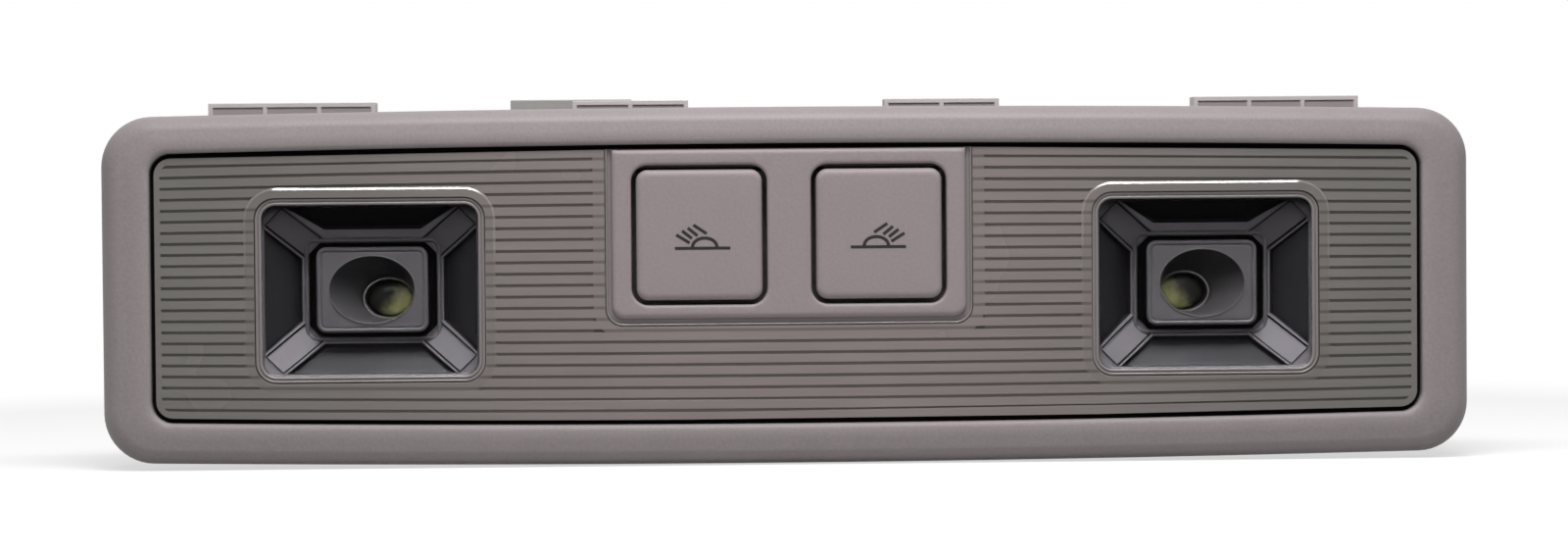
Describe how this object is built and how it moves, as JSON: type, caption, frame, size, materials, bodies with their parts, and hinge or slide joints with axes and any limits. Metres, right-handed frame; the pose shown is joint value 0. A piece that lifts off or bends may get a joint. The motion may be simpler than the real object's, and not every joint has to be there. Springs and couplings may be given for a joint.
{
  "type": "car dome light",
  "caption": "Rear overhead car lamp with a smoked grooved lens, reading lamp windows, a switch plate with push buttons, a grey bezel and a clip-in housing.",
  "frame": {"origin": "middle of the plane where the bezel's rear edge meets the headliner", "axes": "+X to the viewer's right along the lamp, +Y backwards into the headliner, +Z towards the hook tabs; the lit face looks along -Y"},
  "size_m": [0.233, 0.032, 0.0626],
  "materials": {
    "bezel_plastic": "finely grained warm grey moulding",
    "smoked_lens": "smoked translucent lens with fine grooves",
    "clear_pane": "clear moulded pane",
    "plate_plastic": "finely grained grey moulding",
    "shade_plastic": "dark satin moulding",
    "bowl_plastic": "dark satin bowl",
    "emitter": "yellow-green light emitter on a pale package",
    "white_plastic": "white reflecting moulding",
    "board": "green coated circuit board",
    "black_plastic": "black moulded parts",
    "plunger_plastic": "natural plastic",
    "header_plastic": "pale grey-green moulding",
    "pin_metal": "plated contact pins",
    "can_metal": "drawn capacitor cans",
    "housing_plastic": "plain warm grey moulding",
    "spring_steel": "bright spring sheet",
    "screw_steel": "plated screws"
  },
  "bodies": {
    "lamp": {"bezel": "bezel_plastic", "lens_cover": "smoked_lens", "window_left": "clear_pane", "window_right": "clear_pane", "switch_plate": "plate_plastic", "shade_left": "shade_plastic", "shade_right": "shade_plastic", "spot_reflector_left": "bowl_plastic", "spot_reflector_right": "bowl_plastic", "spot_led_left": "emitter", "spot_led_right": "emitter", "reflector_tray": "white_plastic", "ambient_leds": "emitter", "circuit_board": "board", "switch_left": "black_plastic", "switch_right": "black_plastic", "connector_header": "header_plastic", "connector_pins": "pin_metal", "driver_chip": "black_plastic", "capacitors": "can_metal", "resistors": "black_plastic", "rear_housing": "housing_plastic", "spring_clip_left": "spring_steel", "spring_clip_right": "spring_steel", "board_screws": "screw_steel", "plate_screws": "screw_steel"},
    "left_key": {"button_left": "plate_plastic", "plunger_left": "plunger_plastic"},
    "right_key": {"button_right": "plate_plastic", "plunger_right": "plunger_plastic"}
  },
  "joints": [
    {"name": "left_press", "type": "slide", "parent": "lamp", "child": "left_key", "axis": [0, 1, 0], "range_m": [0, 0.0012], "stiffness_N_per_m": 1200, "springref_m": -0.0008},
    {"name": "right_press", "type": "slide", "parent": "lamp", "child": "right_key", "axis": [0, 1, 0], "range_m": [0, 0.0012], "stiffness_N_per_m": 1200, "springref_m": -0.0008}
  ]
}
